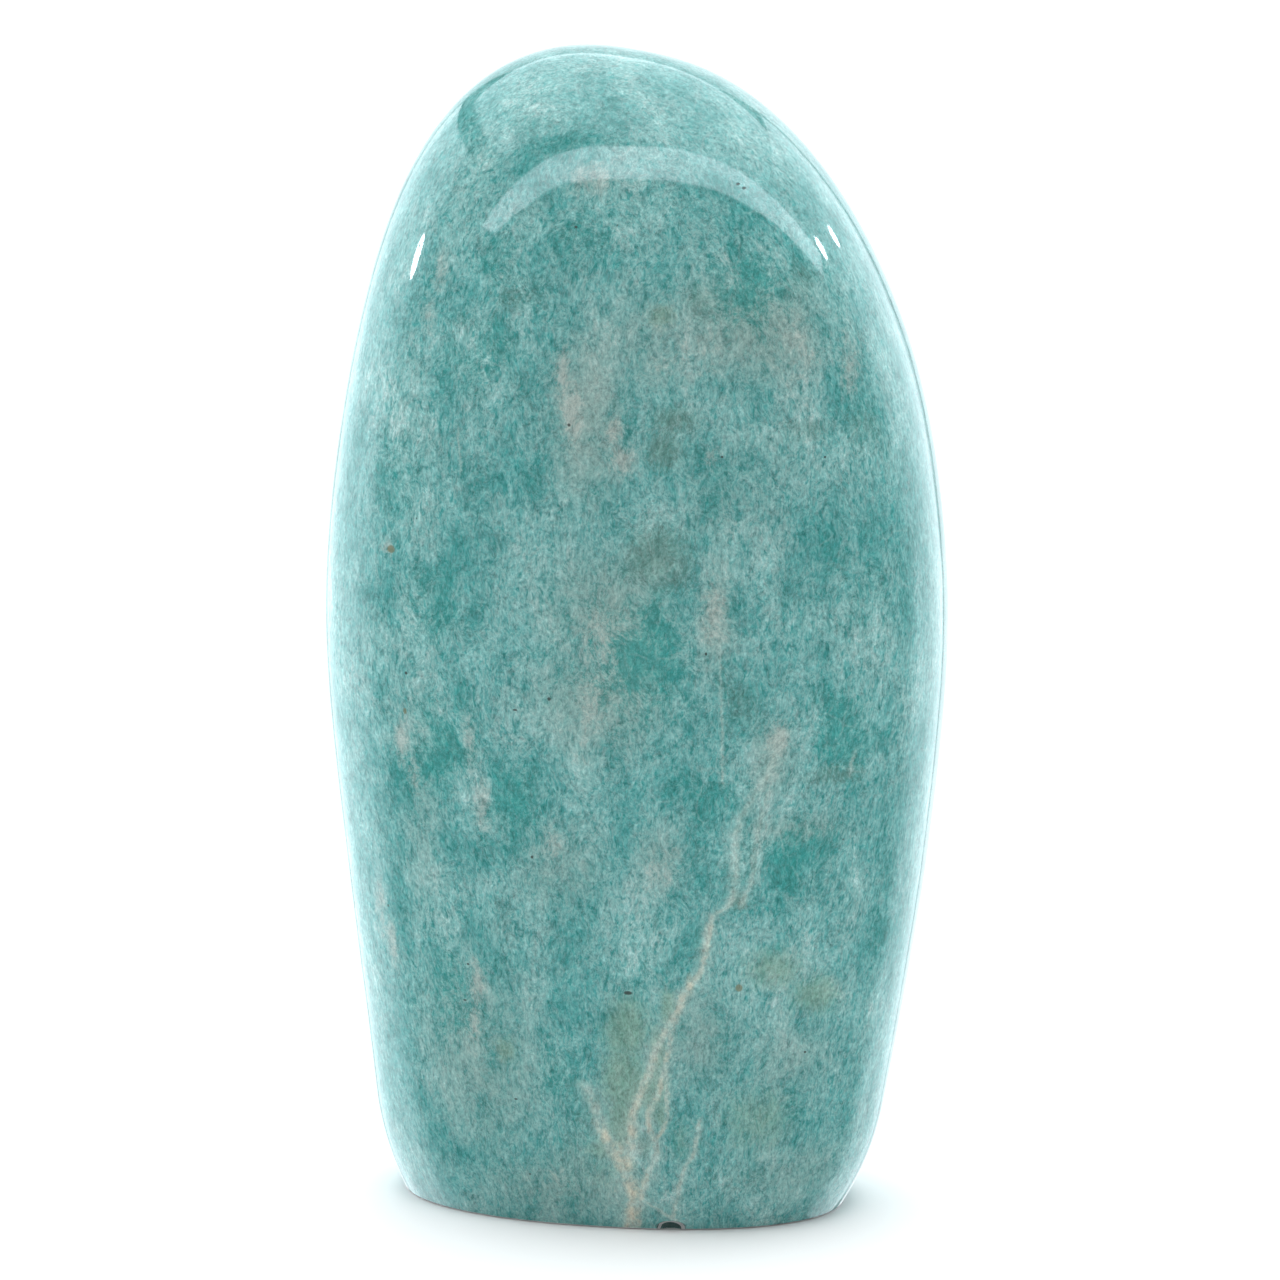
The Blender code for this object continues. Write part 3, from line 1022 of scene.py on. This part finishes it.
def softbox(name, corner, opposite, facing, strength, feather, turn):
    """A panel of light between two corners as the camera sees them, hidden from the camera.

    Across is to the right, back is away from the camera, and up is up. Its edges fade over a share
    of its width and of its height. One that faces down shows in reflections alone.
    """
    low = Vector(min(a, b) for a, b in zip(corner, opposite))
    high = Vector(max(a, b) for a, b in zip(corner, opposite))
    middle = (low + high) / 2
    spread = high - low
    right = Vector((math.cos(turn), math.sin(turn), 0.0))
    back = Vector((-math.sin(turn), math.cos(turn), 0.0))
    up = Vector((0.0, 0.0, 1.0))
    normal, rise, width, height = {
        "right": (right, up, spread.y, spread.z),
        "left": (-right, up, spread.y, spread.z),
        "forward": (-back, up, spread.x, spread.z),
        "down": (-up, back, spread.x, spread.y),
    }[facing]
    data = bpy.data.lights.new(name, "AREA")
    data.shape = "RECTANGLE"
    data.size = width
    data.size_y = height
    data.energy = strength * math.pi * width * height
    data.color = PANEL_LIGHT
    soften_edges(data, feather)
    panel = add_object(name, data)
    back_axis = -normal
    side = rise.cross(back_axis).normalized()
    turned = Matrix((side, back_axis.cross(side), back_axis)).transposed()
    place = right * middle.x + back * middle.y + up * middle.z
    panel.matrix_world = Matrix.Translation(place) @ turned.to_4x4()
    panel.visible_camera = False
    panel.visible_diffuse = facing != "down"
    return panel


def soften_edges(light, feather):
    """Fades a panel's light towards its edges."""
    light.use_nodes = True
    tree = light.node_tree
    emission = next(n for n in tree.nodes if n.type == "EMISSION")
    across, up, _ = apart(Wire(tree.nodes.new("ShaderNodeNewGeometry").outputs["Parametric"]))
    fades = [span(v, 0.0, w) * span(v, 1.0 - w, 1.0, 1.0, 0.0) for v, w in zip((across, up), feather) if w]
    if fades:
        plug(math.prod(fades), emission.inputs["Strength"])


def lamp(name, middle, size, facing, strength, turn):
    """A small bright lamp, seen only in reflections."""
    middle = Vector(middle)
    half = Vector((0.0, size[0] / 2, size[1] / 2))
    panel = softbox(name, middle - half, middle + half, facing, strength, (0.0, 0.0), turn)
    panel.data.shape = "ELLIPSE"
    panel.visible_diffuse = False


def make_softboxes(turn):
    """The light tent: its walls, its ceiling, a long strip over its front opening, and small lamps."""
    for name, (*values, own_turn) in PANELS.items():
        softbox(name, *values, turn + math.radians(own_turn))
    for name, values in LAMPS.items():
        lamp(name, *values, turn)


def make_sky(strength):
    """Soft light from all round, with a white backdrop for the camera."""
    world = bpy.data.worlds.new("studio")
    bpy.context.scene.world = world
    world.use_nodes = True
    tree = world.node_tree
    tree.nodes.clear()
    seen = Wire(tree.nodes.new("ShaderNodeLightPath").outputs["Is Camera Ray"])
    level = seen * (BACKDROP - strength) + strength
    background = first_output(tree, "ShaderNodeBackground", {"Color": (1.0, 1.0, 1.0), "Strength": level})
    plug(background, tree.nodes.new("ShaderNodeOutputWorld").inputs["Surface"])


def make_floor():
    """A plain pale floor."""
    mesh = bpy.data.meshes.new("floor")
    corners = [(x * FLOOR_HALF, y * FLOOR_HALF, 0.0) for x, y in ((-1, -1), (1, -1), (1, 1), (-1, 1))]
    mesh.from_pydata(corners, [], [(0, 1, 2, 3)])
    material = bpy.data.materials.new("pale_floor")
    material.use_nodes = True
    shader = material.node_tree.nodes["Principled BSDF"]
    shader.inputs["Base Color"].default_value = FLOOR_COLOUR
    shader.inputs["Roughness"].default_value = FLOOR_ROUGHNESS
    mesh.materials.append(material)
    floor = add_object("floor", mesh)
    floor.visible_glossy = False


def make_camera(look):
    """The camera at the photograph's viewing angle."""
    data = bpy.data.cameras.new("camera")
    data.sensor_width = SENSOR_WIDTH
    data.lens = PIXELS_PER_MM / MM * look.distance * SENSOR_WIDTH / FRAME_PIXELS
    camera = add_object("camera", data)
    place, right, up, forward = camera_axes(look)
    turned = Matrix((right, up, -forward)).transposed()
    camera.matrix_world = Matrix.Translation(place) @ turned.to_4x4()
    bpy.context.scene.camera = camera


class AMAZONITE_OT_studio(bpy.types.Operator):
    """Makes the floor, the light and the camera"""

    bl_idname = "amazonite.studio"
    bl_label = "Studio"

    def execute(self, context):
        look = context.scene.amazonite_look
        context.scene.view_settings.view_transform = "Standard"
        make_floor()
        make_camera(look)
        make_sky(look.sky)
        make_softboxes(look.turn)
        data = bpy.data.lights.new("overhead", "SUN")
        data.energy = look.overhead
        data.angle = look.overhead_spread
        overhead = add_object("overhead", data)
        overhead.visible_glossy = False
        return {"FINISHED"}


class AMAZONITE_PT_panel(bpy.types.Panel):
    """Lists the stone's sizes and colours and the two makers"""

    bl_label = "Amazonite"
    bl_idname = "AMAZONITE_PT_panel"
    bl_space_type = "VIEW_3D"
    bl_region_type = "UI"
    bl_category = "Amazonite"

    def draw(self, context):
        scene = context.scene
        for operator, group in (
            (AMAZONITE_OT_stone, scene.amazonite_form),
            (None, scene.amazonite_finish),
            (AMAZONITE_OT_studio, scene.amazonite_look),
        ):
            box = self.layout.box()
            for key in type(group).__annotations__:
                box.prop(group, key)
            if operator:
                box.operator(operator.bl_idname)


GROUPS = {"amazonite_form": StoneForm, "amazonite_finish": StoneFinish, "amazonite_look": StudioLook}
CLASSES = (*GROUPS.values(), AMAZONITE_OT_stone, AMAZONITE_OT_studio, AMAZONITE_PT_panel)


def register():
    for item in CLASSES:
        bpy.utils.register_class(item)
    for name, group in GROUPS.items():
        setattr(bpy.types.Scene, name, PointerProperty(type=group))


def unregister():
    for name in GROUPS:
        delattr(bpy.types.Scene, name)
    for item in reversed(CLASSES):
        bpy.utils.unregister_class(item)


def main():
    register()
    bpy.ops.amazonite.studio()
    bpy.ops.amazonite.stone()


if __name__ == "__main__":
    main()
